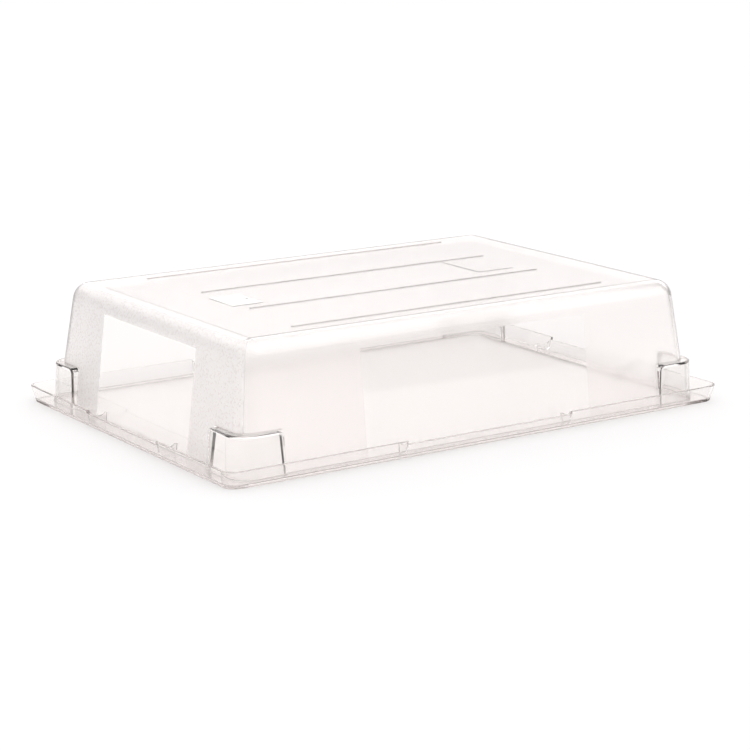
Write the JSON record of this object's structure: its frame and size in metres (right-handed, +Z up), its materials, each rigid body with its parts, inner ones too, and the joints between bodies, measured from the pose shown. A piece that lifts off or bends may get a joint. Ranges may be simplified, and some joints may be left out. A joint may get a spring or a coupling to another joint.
{
  "type": "humidity dome tray",
  "caption": "Clear rigid humidity dome with frosted walls, polished windows and hollow corner lugs, standing in a shallow clear tray with an upstanding rim.",
  "frame": {"origin": "centre of the tray's underside, on the surface it rests on", "axes": "+X along the long side, +Y along the short side, +Z up, the way the dome lifts off"},
  "size_m": [0.6596, 0.4566, 0.1419],
  "materials": {
    "tray_plastic": "clear polycarbonate, glossy",
    "dome_plastic": "clear polycarbonate, finely stippled, with polished windows and lugs"
  },
  "bodies": {
    "base_tray": {"base_tray": "tray_plastic"},
    "dome": {"dome": "dome_plastic"}
  },
  "joints": [
    {"name": "dome_lift", "type": "slide", "parent": "base_tray", "child": "dome", "axis": [0, 0, 1], "range_m": [0, 0.15]}
  ]
}
